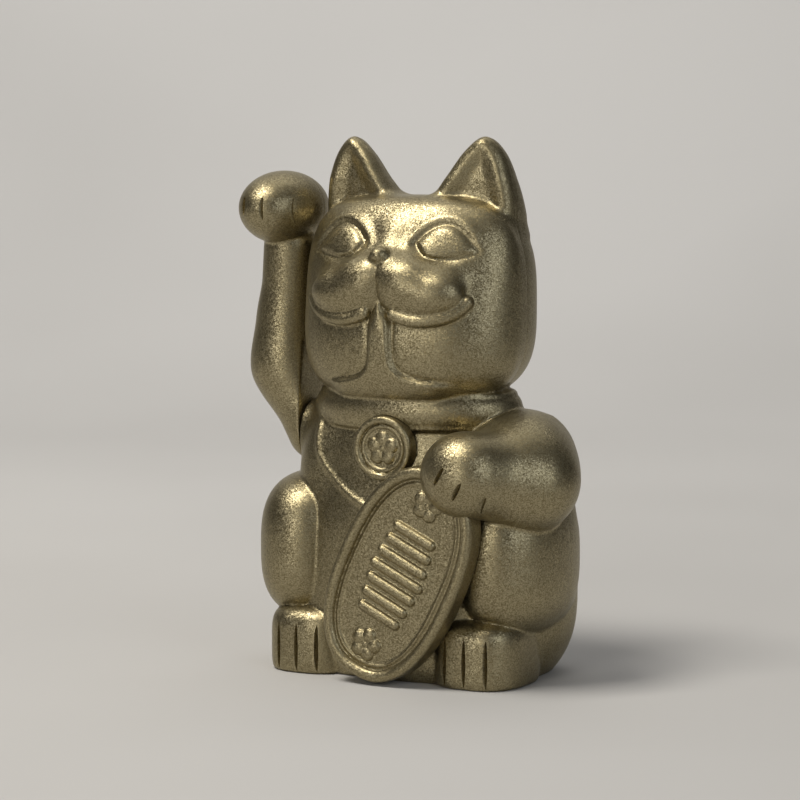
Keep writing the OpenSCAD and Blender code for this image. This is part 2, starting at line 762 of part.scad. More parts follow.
// Lever pressed on the axle, with a cup for the magnet at its foot
module swing_lever() {
    color([0.82, 0.80, 0.74])
        difference() {
            union() {
                tube_x(lever_x - 4, lever_x + 4, axle_r + 3);
                translate([lever_x - lever_t / 2, -lever_w / 2, weight_z - 0.2])
                    cube([lever_t, lever_w, pivot_z - weight_z - axle_r]);
                translate([lever_x, 0, magnet_z + 0.6])
                    cylinder(r = magnet_d / 2 + 1.2, h = weight_z - magnet_z - 0.6);
            }
            tube_x(lever_x - 10, lever_x + 10, axle_r);
            translate([lever_x, 0, magnet_z - 1]) cylinder(r = magnet_d / 2, h = magnet_h + 1);
        }
}

module pendulum_magnet() {
    color([0.35, 0.35, 0.37])
        translate([lever_x, 0, magnet_z]) cylinder(r = magnet_d / 2, h = magnet_h);
}

module counterweight() {
    color([0.48, 0.48, 0.50])
        difference() {
            translate([lever_x, 0, weight_z]) cylinder(r = weight_d / 2, h = weight_h);
            translate([lever_x - lever_t / 2 - 0.02, -lever_w / 2 - 0.02, weight_z - 1])
                cube([lever_t + 0.04, lever_w + 0.04, weight_h + 2]);
        }
}

module drive_board() {
    color([0.16, 0.36, 0.22])
        difference() {
            translate([board_x[0], board_y[0], board_z])
                cube([board_x[1] - board_x[0], board_y[1] - board_y[0], board_t]);
            for (p = board_screw_xy)
                translate([p.x, p.y, board_z - 1]) cylinder(r = 1.2, h = 5, $fn = 24);
        }
}

bobbin_core = 3;

module coil_bobbin() {
    color([0.86, 0.84, 0.78])
        translate([lever_x, 0, bobbin_z])
            rotate_extrude()
                polygon([[1.4, 0], [coil_d / 2, 0], [coil_d / 2, 0.8], [bobbin_core, 0.8],
                    [bobbin_core, bobbin_h - 0.8], [coil_d / 2, bobbin_h - 0.8], [coil_d / 2, bobbin_h],
                    [1.4, bobbin_h]]);
}

module coil_winding() {
    color([0.72, 0.38, 0.20])
        translate([lever_x, 0, bobbin_z + 0.8])
            difference() {
                cylinder(r = coil_d / 2 - 0.4, h = bobbin_h - 1.6);
                translate([0, 0, -1]) cylinder(r = bobbin_core, h = bobbin_h + 2);
            }
}

module transistor() {
    color([0.08, 0.08, 0.09])
        translate([board_x[0] + 3.4, 2.5, bobbin_z])
            union() {
                translate([0, 0, 1.8])
                    intersection() {
                        cylinder(r = 2.4, h = 4.6, $fn = 32);
                        translate([-1.4, -3, -1]) cube([6, 6, 7]);
                    }
                for (y = [-1.27, 0, 1.27])
                    translate([0.2, y, 0]) cylinder(r = 0.25, h = 2, $fn = 16);
            }
}

module capacitor() {
    color([0.12, 0.14, 0.30])
        translate([board_x[1] - 3.4, 3, bobbin_z])
            union() {
                cylinder(r = 2.5, h = 6.5, $fn = 32);
                translate([0, 0, 6.5]) cylinder(r1 = 2.5, r2 = 2.1, h = 0.4, $fn = 32);
            }
}

wire_r = 0.6;
wire_gap = 0.2;
wire_steps = 9;
function curve(p, t) =
    let (u = 1 - t) p[0] * u * u * u + p[1] * 3 * u * u * t + p[2] * 3 * u * t * t + p[3] * t * t * t;

// A wire bent along a smooth curve with four guide points
module wire(pts) {
    for (i = [0:wire_steps - 1])
        hull()
            for (t = [i, i + 1])
                translate(curve(pts, t / wire_steps)) sphere(wire_r, $fn = 8);
}

wire_y = cell_y + 4.8;
tail_x = box_w + wire_gap + wire_r;

module wire_red() {
    color([0.70, 0.08, 0.06])
        wire([[tail_x, wire_y, board_z + 0.4], [tail_x, wire_y, board_z + 6],
            [board_x[1] - 2, wire_y - 5, board_z + 6], [board_x[1] - 2, wire_y - 6.7, bobbin_z + wire_r]]);
}

module wire_black() {
    color([0.06, 0.06, 0.06])
        wire([[-tail_x, wire_y, board_z + 0.4], [-tail_x, wire_y, board_z + 6],
            [board_x[0] + 2, wire_y - 5, board_z + 6], [board_x[0] + 2, wire_y - 6.7, bobbin_z + wire_r]]);
}

front_shell();
rear_shell();
arm_front_half();
arm_rear_half();
koban_coin();
collar_medal();
base_plate();
battery_door();
door_screw();
battery_cell();
contact_leaf();
contact_plate();
pivot_frame();
pivot_bushes();
pivot_axle();
axle_clip();
arm_hub();
swing_lever();
pendulum_magnet();
counterweight();
drive_board();
coil_bobbin();
coil_winding();
transistor();
capacitor();
wire_red();
wire_black();
case_screws();
base_screws();
frame_screws();
board_screws();
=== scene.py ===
# Looks of the beckoning cat figurine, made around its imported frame.
# Forms are in millimetres until a mesh is made. The cat faces -Y and stands on z = 0.
import functools
import json
import math

import bpy
import numpy as np
import openvdb
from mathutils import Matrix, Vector


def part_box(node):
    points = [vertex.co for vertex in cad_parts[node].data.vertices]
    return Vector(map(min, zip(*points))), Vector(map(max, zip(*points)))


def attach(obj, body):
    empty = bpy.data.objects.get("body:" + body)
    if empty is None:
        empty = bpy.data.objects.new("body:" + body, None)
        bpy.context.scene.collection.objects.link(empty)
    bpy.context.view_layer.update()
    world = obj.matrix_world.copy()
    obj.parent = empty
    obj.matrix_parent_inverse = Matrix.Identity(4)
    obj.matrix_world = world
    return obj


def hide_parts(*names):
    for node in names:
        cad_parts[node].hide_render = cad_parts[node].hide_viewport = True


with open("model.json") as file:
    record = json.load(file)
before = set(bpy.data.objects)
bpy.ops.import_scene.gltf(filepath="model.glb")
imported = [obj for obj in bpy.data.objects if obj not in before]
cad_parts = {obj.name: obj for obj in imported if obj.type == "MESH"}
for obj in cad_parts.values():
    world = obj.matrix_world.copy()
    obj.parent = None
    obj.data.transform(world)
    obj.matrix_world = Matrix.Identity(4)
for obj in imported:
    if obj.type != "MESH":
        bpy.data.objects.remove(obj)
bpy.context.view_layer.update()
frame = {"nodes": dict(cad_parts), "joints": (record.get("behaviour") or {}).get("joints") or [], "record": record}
MM = 0.001


def node_box(node):
    """The lowest and highest corner of a CAD node in millimetres."""
    low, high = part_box(node)
    return np.array(low) / MM, np.array(high) / MM


# Shell sizes
WALL = 2.2
BODY_HALF_W = 38.0
BODY_HALF_D = 27.0
HEAD_HALF_W = 33.0
CHIN_D = 22.0
HEAD_BACK_D = 27.0
CROWN_H = 30.6
JAW_H = 27
FACE_LEAN = 0.24
LEAN_FROM_Z = 97.0
LEAN_SOFT = 2
EAR_TIP_Z = node_box("front_shell")[1][2]
EAR_Y = -1.9
EAR_T = 3.4
EAR_BACK = 1.8
EAR_DISH = 1.8
SEAM_DEPTH = 0.1
SEAM_W = 0.3
OPEN_BELOW = 3

# Places of the limbs at the body's sides
HAUNCH_X = BODY_HALF_W - 7
HIP_X = BODY_HALF_W - 14
FOOT_X = BODY_HALF_W - 12
SHOULDER_X = BODY_HALF_W - 7
NAPE = (SHOULDER_X - 9, 0, 66)
NAPE_R = 8
SHOULDER = (SHOULDER_X + 1, -1, 60.5)
SHOULDER_R = 13
ELBOW = (BODY_HALF_W + 0.5, -11, 56.5)
ELBOW_R = 12
WRIST = (BODY_HALF_W - 9, -25, 59)
WRIST_R = 10
PAW = (BODY_HALF_W - 11, -28, 59.5)
PAW_R = (11, 9.5, 10.5)
TAIL_ROOT_R = 6
TAIL_TIP_R = 4.4

# Raised arm and its pivot
ARM_R = 8.4
ARM_X = -(HEAD_HALF_W + 0.8 + ARM_R)
ARM_FACE_X = 3.2 - BODY_HALF_W
ARM_FACE_TOP = 92.0
PIVOT_Z = frame["joints"][0]["pos_m"][2] / MM
ARM_SHOULDER = (ARM_X + 9, 0, PIVOT_Z)
ARM_SHOULDER_R = 9
ARM_ELBOW = (ARM_X - 1.2, 0, PIVOT_Z + 18)
ARM_ELBOW_R = ARM_R + 0.2
ARM_WRIST = (ARM_X + 1.2, -2, 118)
ARM_WRIST_R = ARM_R - 0.5
ARM_PAW = (ARM_X - 0.2, -3.5, 129.5)
PAW_W = 22.5
ARM_PAW_R = (PAW_W / 2, 16.8, 10.5)
BOSS_ROOT_X = -24
BOSS_END_X = ARM_FACE_X + 0.5
BOSS_R = 9.0
AXLE_HOLE_R = 2.3
AXLE_HOLE_END_X = -15
HUB_R = 4.45
SHOULDER_ROOM_R = 10.3
SHOULDER_ROOM_X = ARM_FACE_X + 0.35
HUB_END_X = node_box("arm_hub")[0][0] - 0.05

# Coin and medal
COIN_C = (8.2, -23.7, 31.0)
COIN_A = 31.5
COIN_B = 18.5
COIN_T = 7.5
COIN_TILT = math.radians(26)
COIN_ROUND = 0.84
COIN_POWER = 2 / COIN_ROUND
COIN_RIM_H = 1.6
COIN_RIM_R = 1.7
COIN_LINE_IN = 4.7
BAR_PITCH = 4.2
BAR_HALF = 7.4
BAR_SHRINK = 0.6
BAR_R = 1.45
BAR_H = 1.4
STAMP_IN = 9.6
STAMP_H = 1.3
MEDAL_C = (0.0, -19.6, 64.6)
MEDAL_R = 9.0
MEDAL_T = 4.0
MEDAL_RIM = 1.1
MEDAL_SEAT_H = 12
PETAL_R = 2.1
FIT_GAP = 0.2

# Screw holes in the back, as [x, z]
CASE_SCREWS = ((-30, 38), (30, 38), (0, 108))
SCREW_HEAD_Y = 12.0
SCREW_TIP_Y = -12
SCREW_BORE_R = 3.0
SCREW_HOLE_R = 1.6
SCREW_BOSS_R = 4.8

# Middles and half sizes of the body's round forms
HIPS_C, HIPS_R = (0, 3, 22), (BODY_HALF_W, BODY_HALF_D, 30)
CHEST_C, CHEST_R = (0, -1, 56), (BODY_HALF_W - 3.7, 20, 28)
NECK_C, NECK_R = (0, -1, 78), (26.4, 17.5, 14)
PAD_C, PAD_R = (-24, -2, PIVOT_Z - 10), (10.3, 14, 20)
HIP_C, HIP_R = (HIP_X, 8, 24), (18.5, 19, 24)
HAUNCH_C, HAUNCH_R = (HAUNCH_X, -1.5, 34), (15.5, 22.5, 21)
FOOT_C, FOOT_R = (FOOT_X, -10, 7.5), (13, 15.2, 11.2)
UPPER_ARM_C, UPPER_ARM_R = (SHOULDER_X + 2, -9, 60), (13, 14, 12.5)
FOREARM_C, FOREARM_R = (ARM_X - 1, 0, 93), (9.2, 9.6, 19)

# Middles and half sizes of the head's round forms
HEAD_C = (0, -3, 103)
LOBE_C, LOBE_R = (9.8, 2.0 - CHIN_D, 107.2), (13.4, 7.4, 7.7)
PUFF_C, PUFF_R = (5.2, -0.4 - CHIN_D, 111.6), (6.6, 5.4, 5.2)
NOSE_C, NOSE_R = (0, -2.1 - CHIN_D, 117.6), (2.8, 3.2, 2.4)

# Limbs of the face as two ends and the radius at each
BRIDGE = ((0, 2.4 - CHIN_D, 115), (0, 6.8 - CHIN_D, 121.5), 3.2, 1.5)
PROW = ((0, -3.4 - CHIN_D, 104.2), (0, -1.8 - CHIN_D, 98), 0.5, 2.6)

# Rings of the collar: height, half width, half depth, thickness and half height
COLLAR_Y = -1.6
COLLAR_ROLL = (74.5, 27.2, 17.4, 3.2, 4.8)
COLLAR_LIP = (79.0, 27.4, 17.6, 1.5, 1)
COLLAR_HEM = (70.2, 27.8, 18, 1.2, 0.9)

# Cuts of the toes and claws
TOE_PITCH = 6.2
TOE_TOP_Z = 14
TOE_END_Z = 0.8
CLAW_STEP = (5.1, -4)
CLAW_RUN = (-3, -5)
RAISED_CLAW_PITCH = 6.4
RAISED_CLAW_RUNS = (5, 6.6, 7.6)

# Sampling of the forms
SHELL_STEP = 0.57
ARM_STEP = 0.36
COIN_STEP = 0.3
HOLLOW_STEP = 1.6
MAP_STEP = 0.25
FORM_MARGIN = 1.5
CAT_BOX = ((-51, -41, -2), (54, 37, EAR_TIP_Z + 3))
HOLLOW_BOX = ((-46, -38, -6), (50, 36, 136))
ARM_BOX = ((-57, -25, PIVOT_Z - 14), (-27, 14, 144))
ARM_HOLLOW_BOX = ((-54, -20, PIVOT_Z + 10), (-32, 12, 142))

# Parting plane, and the reach of tools that pass through a shell
PARTING_X = (-60, 61)
PARTING_Z = (-10, 163)
PARTING_SQUARE = 4.0
PARTING_MID_Z = 75
FAR = 2000.0
THROUGH = 60

# Angles in degrees above which edges stay sharp
SHELL_SHARP = 45
COIN_SHARP = 50
FLOOR_SHARP = 60


# Smooth joins and round forms as distance fields over p = (x, y, z)
def smin(a, b, k):
    """The nearer of two forms, joined by a fillet about k wide."""
    h = np.maximum(k - np.abs(a - b), 0) / k
    return np.minimum(a, b) - h * h * k / 4


def smax(a, b, k):
    return -smin(-a, -b, k)


def mirrored(p):
    return np.abs(p[0]), p[1], p[2]


def egg(p, c, r):
    q = [p[i] - c[i] for i in range(3)]
    k = np.sqrt(sum((q[i] / r[i]) ** 2 for i in range(3))) + 1e-6
    return np.sqrt(sum(i * i for i in q)) * (1 - 1 / k)


def block(p, c, r, n, m):
    """A rounded block, squarer in plan with n and in height with m."""
    q = [p[i] - c[i] for i in range(3)]
    e = np.abs(q[0] / r[0]) ** n + np.abs(q[1] / r[1]) ** n
    k = (e ** (m / n) + np.abs(q[2] / r[2]) ** m) ** (1 / m) + 1e-6
    return np.sqrt(sum(i * i for i in q)) * (1 - 1 / k)


def limb(p, a, b, ra, rb):
    """A round limb from a to b."""
    q = [p[i] - a[i] for i in range(3)]
    d = [b[i] - a[i] for i in range(3)]
    h = np.clip(sum(q[i] * d[i] for i in range(3)) / sum(i * i for i in d), 0, 1)
    return np.sqrt(sum((q[i] - d[i] * h) ** 2 for i in range(3))) - ra - (rb - ra) * h


def band(p, y, z, a, b, w, h):
    """An oval ring about the middle plane."""
    d = (np.hypot(p[0] / a, (p[1] - y) / b) - 1) * (a + b) / 2
    return (np.hypot(d / w, (p[2] - z) / h) - 1) * w


def tube_x(p, x0, x1, r):
    d = np.hypot(p[1], p[2] - PIVOT_Z) - r
    return np.maximum(d, np.maximum(x0 - p[0], p[0] - x1))


def min_of(items):
    return functools.reduce(np.minimum, items)


def max_of(items):
    return functools.reduce(np.maximum, items)


# Soft edges and lines for the relief
def ramp(d, w):
    """From 0 at -w to 1 at w."""
    t = np.clip(0.5 + d / (2 * w), 0, 1)
    return t * t * (3 - 2 * t)


def line(d, w):
    return np.exp(-((d / w) ** 2))


def dome(d, r):
    return np.sqrt(np.clip(1 - (d / r) ** 2, 0, 1))


def smooth_line(points, steps=6):
    """Points along a curve that passes through the given ones."""
    ends = [points[0]] + list(points) + [points[-1]]
    out = []
    for a, b, c, d in zip(ends, ends[1:], ends[2:], ends[3:]):
        for i in range(steps):
            t = i / steps
            out.append(tuple(
                b[j] + 0.5 * t * (c[j] - a[j] + t * (2 * a[j] - 5 * b[j] + 4 * c[j] - d[j]
                                                  + t * (3 * (b[j] - c[j]) + d[j] - a[j])))
                for j in range(len(b))))
    return out + [points[-1]]


def path_distance(u, v, points):
    best = np.full(np.broadcast(u, v).shape, 1e3, np.float32)
    for (au, av), (bu, bv) in zip(points, points[1:]):
        du, dv = bu - au, bv - av
        h = np.clip(((u - au) * du + (v - av) * dv) / (du * du + dv * dv), 0, 1)
        best = np.minimum(best, np.hypot(u - au - du * h, v - av - dv * h))
    return best


def outline_distance(u, v, points):
    """Distance to a closed outline, negative inside."""
    inside = np.zeros(np.broadcast(u, v).shape, bool)
    closed = list(points) + [points[0]]
    for (au, av), (bu, bv) in zip(closed, closed[1:]):
        if av != bv:
            inside ^= ((av > v) != (bv > v)) & (u < au + (bu - au) * (v - av) / (bv - av))
    d = path_distance(u, v, closed)
    return np.where(inside, -d, d)


class HeightMap:
    """Relief drawn over the front plane and read at any [x, z]."""

    LOW = (-62.0, -2.0)
    SIZE = (500, 640)

    def __init__(self, draw):
        x = self.LOW[0] + MAP_STEP * np.arange(self.SIZE[0])
        z = self.LOW[1] + MAP_STEP * np.arange(self.SIZE[1])
        self.grid = draw(x[:, None], z[None, :]).astype(np.float32)
        for axis in (0, 1, 0, 1):
            self.grid = (np.roll(self.grid, 1, axis) + 2 * self.grid + np.roll(self.grid, -1, axis)) / 4

    def at(self, x, z):
        u = np.clip((x - self.LOW[0]) / MAP_STEP, 0, self.SIZE[0] - 1.001)
        v = np.clip((z - self.LOW[1]) / MAP_STEP, 0, self.SIZE[1] - 1.001)
        i, j = u.astype(int), v.astype(int)
        s, t = u - i, v - j
        g = self.grid
        return ((g[i, j] * (1 - s) + g[i + 1, j] * s) * (1 - t)
                + (g[i, j + 1] * (1 - s) + g[i + 1, j + 1] * s) * t)


# Lines of the face as [x, z] on one side
EYE_UPPER = [(8.0, 120.8), (11.4, 124.4), (16.0, 125.8), (20.4, 123.6), (24.6, 118.6)]
EYE_LOWER = [(24.6, 118.6), (20.6, 117.3), (16.0, 116.7), (11.2, 117.6), (8.0, 120.8)]
EYE_OUTLINE = smooth_line(EYE_UPPER)[:-1] + smooth_line(EYE_LOWER)[:-1]
EYE_MIDDLE = (15.4, 120.4)
CHIN_EDGE = smooth_line([(0, 104.6), (1.6, 103), (2.7, 100.5), (3.0, 96), (3.2, 91), (4.0, 87.4),
                         (6.6, 84.8), (11, 83.4), (17, 82.6), (22, 82.4)])
BIB_EDGE = smooth_line([(25.2, 80), (25.0, 70), (23.6, 61.6), (17.4, 55), (9.6, 50.2), (0, 46.4)])
EAR_EDGE = smooth_line([(2.5, 127.5), (6.2, 133.6), (10.2, 139.2), (15.2, 146.2), (20.6, EAR_TIP_Z),
                        (25.4, 146.2), (28.2, 139), (29.4, 131), (29.4, 122)])

# Relief of the face, and where on the front it begins
EYE_H = 2.1
EYE_ROUND = 4.6
SOCKET_HALF = (12, 7)
CHIN_H = 1.5
CHIN_HALF_W = 17
RELIEF_FROM_Y = -5

# The lower lip as [x, y, z] on one side, and the box that it is worked out in
LIP_R = 1.7
LIP_Z = 102
LIP_REACH = 12
LIP_FROM_Y = -10
LIP_AWAY = 50.0
LIP = smooth_line([(4.6, -25.1, 101.6), (8, -25, 100.4), (12, -24.4, 99.9), (17.6, -22.4, 100.6),
                   (21.4, -20.4, 102.4), (23.8, -18.5, 105)], 3)


def both_sides(edge):
    return edge + [(-x, z) for x, z in reversed(edge) if x > 0]


def draw_eyes(x, z):
    """Eyeballs in shallow sockets, under lids that are strongest above."""
    side = np.abs(x)
    eye = outline_distance(side, z, EYE_OUTLINE)
    upper = ramp(z - EYE_MIDDLE[1] - 0.5, 2.5)
    across, up = (side - EYE_MIDDLE[0]) / SOCKET_HALF[0], (z - EYE_MIDDLE[1]) / SOCKET_HALF[1]
    socket = line(np.hypot(across, up), 1)
    eyeball = EYE_H * dome(np.clip(EYE_ROUND + eye, 0, EYE_ROUND), EYE_ROUND)
    crease = (0.25 + 0.35 * upper) * line(eye, 0.6)
    lid = (0.3 + 0.7 * upper) * line(eye - 2.0, 1.5)
    return eyeball - crease + lid - socket


def draw_chin(x, z):
    """The raised strip that widens into the chin, with a crease along its edge."""
    d = outline_distance(x, z, both_sides(CHIN_EDGE + [(22, 70)]))
    fade = ramp(CHIN_HALF_W - np.abs(x), 4)
    return fade * (CHIN_H * ramp(-d, 0.65) - 0.5 * line(d - 0.7, 0.7))


def draw_bib(x, z):
    return 0.6 * line(outline_distance(x, z, both_sides(BIB_EDGE)), 0.8)


def draw_ear_outline(x, z):
    return outline_distance(np.abs(x), z, EAR_EDGE + [(12, 118)])


EYES = HeightMap(draw_eyes)
CHIN = HeightMap(draw_chin)
BIB = HeightMap(draw_bib)
EAR_OUTLINE = HeightMap(draw_ear_outline)


def relief(form, p, height_map):
    """A form raised by a height map on its front."""
    return form - height_map.at(p[0], p[2]) * ramp(RELIEF_FROM_Y - p[1], 2)


# The seated body
def trunk(p):
    body = smin(block(p, HIPS_C, HIPS_R, 2.4, 4), egg(p, CHEST_C, CHEST_R), 12)
    body = smin(body, egg(p, NECK_C, NECK_R), 6)
    body = smin(body, egg(p, PAD_C, PAD_R), 6)
    return smin(relief(body, p, BIB), block(mirrored(p), HIP_C, HIP_R, 2.2, 2.8), 6)


def legs(p):
    haunch = block(mirrored(p), HAUNCH_C, HAUNCH_R, 2.1, 2.8)
    foot = block(mirrored(p), FOOT_C, FOOT_R, 2.7, 4.4)
    return haunch, foot


def resting_arm(p):
    arm = limb(p, NAPE, SHOULDER, NAPE_R, SHOULDER_R)
    arm = smin(arm, limb(p, SHOULDER, ELBOW, SHOULDER_R, ELBOW_R), 9)
    arm = smin(arm, limb(p, ELBOW, WRIST, ELBOW_R, WRIST_R), 9)
    arm = smin(arm, egg(p, UPPER_ARM_C, UPPER_ARM_R), 6)
    return smin(arm, egg(p, PAW, PAW_R), 7)


def tail(p):
    curl = smooth_line([(-12, 20, 8.4), (-2, 27.4, 8.4), (14, 28, 11), (20.5, 27, 18), (20, 27, 26.5)], 2)
    radii = np.linspace(TAIL_ROOT_R, TAIL_TIP_R, len(curl))
    return min_of([limb(p, a, b, ra, rb) for a, b, ra, rb in zip(curl, curl[1:], radii, radii[1:])])


def collar(p):
    rings = [band(p, COLLAR_Y, *ring) for ring in (COLLAR_ROLL, COLLAR_LIP, COLLAR_HEM)]
    return functools.reduce(lambda a, b: smin(a, b, 0.8), rings)


def torso(p):
    """The body, whose resting arm stands clear in front and runs into the back."""
    haunch, foot = legs(p)
    body = smin(smin(trunk(p), haunch, 0.8), foot, 0.7)
    body = smin(body, resting_arm(p), 1 + 8 * ramp(p[1] - 4, 6))
    body = smin(body, tail(p), 2)
    return smin(body, collar(p), 1)


# The head
def skull(p):
    """A rounded block whose front leans back above the chin."""
    lean = FACE_LEAN * np.logaddexp(0, (p[2] - LEAN_FROM_Z) / LEAN_SOFT) * LEAN_SOFT
    ahead = ramp(HEAD_C[1] - p[1], 4)
    depth = np.where(p[1] < HEAD_C[1], CHIN_D - lean, HEAD_BACK_D)
    half = (HEAD_HALF_W, depth, np.where(p[2] > HEAD_C[2], CROWN_H, JAW_H))
    form = block(p, HEAD_C, half, 2.6 - 0.4 * ahead, 3.2 + 0.6 * ahead)
    return relief(form, p, CHIN)


def ears(p):
    """Plates that thicken downwards, dished in front and thicker behind."""
    edge = EAR_OUTLINE.at(p[0], p[2])
    lean = 0.15 * (np.abs(p[0]) - 18) + 0.18 * np.clip(138 - p[2], 0, 14)
    across = p[1] - EAR_Y - lean
    thick = EAR_T + 0.1 * np.clip(EAR_TIP_Z - 4 - p[2], 0, 18)
    dish = EAR_DISH * ramp(-edge - 4.2, 3) * ramp(-across, 1.5)
    return smax(edge, np.where(across > 0, across / EAR_BACK, -across) - thick + dish, 4.5)


def lip(p):
    form = np.full(p[0].shape, LIP_AWAY)
    near = (p[1] < LIP_FROM_Y) & (np.abs(p[2] - LIP_Z) < LIP_REACH)
    q = [c[near] for c in mirrored(p)]
    form[near] = min_of([limb(q, a, b, LIP_R, LIP_R) for a, b in zip(LIP, LIP[1:])])
    return form


def head(p):
    side = mirrored(p)
    lobes = smin(egg(side, LOBE_C, LOBE_R), egg(side, PUFF_C, PUFF_R), 5)
    face = smin(skull(p), limb(p, *BRIDGE), 8)
    face = smin(face, lobes, 0.8 + 6 * ramp(p[2] - 109.5, 4))
    face = smin(relief(face, p, EYES), np.minimum(lip(p), limb(p, *PROW)), 1)
    face = smin(face, egg(p, NOSE_C, NOSE_R), 1)
    return smin(face, ears(p), 2.2)


def seam(p):
    return SEAM_DEPTH * line(p[1], SEAM_W)


def shoulder_room(p):
    """The space that the arm's round shoulder turns in."""
    return np.maximum(p[0] - SHOULDER_ROOM_X, np.hypot(p[1], p[2] - PIVOT_Z) - SHOULDER_ROOM_R)


def cat(p):
    body = smin(torso(p), tube_x(p, BOSS_END_X, BOSS_ROOT_X, BOSS_R), 3)
    body = smax(body, -shoulder_room(p), 0.5)
    form = smin(head(p), body, 0.8)
    return smax(form + seam(p), -p[2], 1)


def cat_hollow(p):
    form = smin(skull(p), torso(p), 1)
    return np.maximum(form + WALL, -OPEN_BELOW - p[2])


def raised_arm(p):
    upper = limb(p, ARM_SHOULDER, ARM_ELBOW, ARM_SHOULDER_R, ARM_ELBOW_R)
    fore = limb(p, ARM_ELBOW, ARM_WRIST, ARM_ELBOW_R, ARM_WRIST_R)
    fore = smin(fore, egg(p, FOREARM_C, FOREARM_R), 3)
    form = smin(smin(upper, fore, 8), egg(p, ARM_PAW, ARM_PAW_R), 1) + seam(p)
    return smax(form, np.minimum(p[0] - ARM_FACE_X, ARM_FACE_TOP - p[2]), 0.6)


def arm_hollow(p):
    low = limb(p, ARM_ELBOW, ARM_WRIST, ARM_R - WALL, ARM_R - WALL - 0.6)
    high = limb(p, ARM_WRIST, ARM_PAW, ARM_R - WALL - 0.8, PAW_W / 2 - WALL - 1)
    return np.minimum(low, high)


# Meshes from fields
def sample(form, axes):
    shape = tuple(len(a) for a in axes)
    grid = np.meshgrid(*axes, indexing="ij")
    return form([g.ravel() for g in grid]).reshape(shape)


def settle(form, points, step, rounds=2):
    """Points moved onto the surface of a form."""
    probe, least_slope, reach = 0.04, 0.2, 0.4 * step
    for _ in range(rounds):
        value = form(points.T)
        grad = np.empty_like(points)
        for i in range(3):
            shift = np.zeros(3)
            shift[i] = probe
            grad[:, i] = (form((points + shift).T) - form((points - shift).T)) / (2 * probe)
        move = value / np.maximum((grad ** 2).sum(1), least_slope)
        points = points - np.clip(move, -reach, reach)[:, None] * grad
    return points


def form_mesh(name, form, low, high, step):
    """A closed mesh of a form inside a box, sampled finely near the surface only."""
    stride = 3
    skin = 2.4 * stride * step
    coarse = [np.arange(low[i], high[i] + stride * step, stride * step) for i in range(3)]
    rough = sample(form, coarse)
    fine = [low[i] + step * np.arange(stride * len(coarse[i])) for i in range(3)]
    values = rough.repeat(stride, 0).repeat(stride, 1).repeat(stride, 2)
    near = np.nonzero(np.abs(values) < skin)
    values[near] = form([fine[i][near[i]] for i in range(3)])
    grid = openvdb.FloatGrid()
    grid.copyFromArray(values.astype(np.float32))
    points, _, quads = grid.convertToPolygons(0.0, 0.0)
    points = settle(form, np.array(low) + points * step, step)
    return add_mesh(name, points * MM, quads)


def add_mesh(name, points, faces):
    """A mesh object in metres."""
    mesh = bpy.data.meshes.new(name)
    mesh.from_pydata(np.asarray(points).tolist(), [], [list(face) for face in faces])
    mesh.update()
    piece = bpy.data.objects.new(name, mesh)
    bpy.context.scene.collection.objects.link(piece)
    return piece


def half_space(name, sign):
    """All on one side of the parting plane, whose face is divided into small squares."""
    across, up = np.arange(*PARTING_X, PARTING_SQUARE), np.arange(*PARTING_Z, PARTING_SQUARE)
    n, m = len(across), len(up)
    points = [(x, 0, z) for x in across for z in up] + [(0, sign * FAR, PARTING_MID_Z)]
    faces = [[i * m + j, (i + 1) * m + j, (i + 1) * m + j + 1, i * m + j + 1]
             for i in range(n - 1) for j in range(m - 1)]
    rim = [i * m for i in range(n)] + [(n - 1) * m + j for j in range(1, m)]
    rim += [i * m + m - 1 for i in range(n - 2, -1, -1)] + list(range(m - 2, 0, -1))
    faces += [[b, a, n * m] for a, b in zip(rim, rim[1:] + rim[:1])]
    if sign < 0:
        faces = [face[::-1] for face in faces]
    return add_mesh(name, np.array(points) * MM, faces)


def prism(name, outline, place, low, high):
    """A prism over an outline between two heights, put in place."""
    n = len(outline)
    points = [place(u, v, w) for w in (low, high) for u, v in outline]
    sides = [[i, (i + 1) % n, n + (i + 1) % n, n + i] for i in range(n)]
    ends = [list(range(n))[::-1], list(range(n, 2 * n))]
    return add_mesh(name, np.array(points) * MM, sides + ends)


def front_y(form, x, z):
    """Where a form is met from the front."""
    y = np.arange(-THROUGH, 10, 0.05)
    return y[np.argmax(form((np.full_like(y, x), y, np.full_like(y, z))) < 0)]


def grooves(name, form, lines, width, depth, n=11):
    """Tapered V cuts along lines [x, z] on the front of a form."""
    points, faces = [], []
    for (ax, az), (bx, bz) in lines:
        first = len(points)
        length = math.hypot(bx - ax, bz - az)
        for i in range(n):
            t = i / (n - 1)
            x, z = ax + (bx - ax) * t, az + (bz - az) * t
            y = front_y(form, x, z)
            swell = 0.1 + 0.9 * math.sin(math.pi * t) ** 0.5
            du, dv = swell * width * (az - bz) / length, swell * width * (bx - ax) / length
            points += [(x + du, y - swell * depth, z + dv),
                       (x - du, y - swell * depth, z - dv),
                       (x, y + swell * depth, z)]
        for i in range(first, first + 3 * (n - 1), 3):
            faces += [[i + j, i + (j + 1) % 3, i + 3 + (j + 1) % 3, i + 3 + j] for j in range(3)]
        last = len(points) - 3
        faces += [[first + 2, first + 1, first], [last, last + 1, last + 2]]
    return add_mesh(name, np.array(points) * MM, faces)


def circle(r, n=48):
    return [(r * math.cos(math.tau * i / n), r * math.sin(math.tau * i / n)) for i in range(n)]


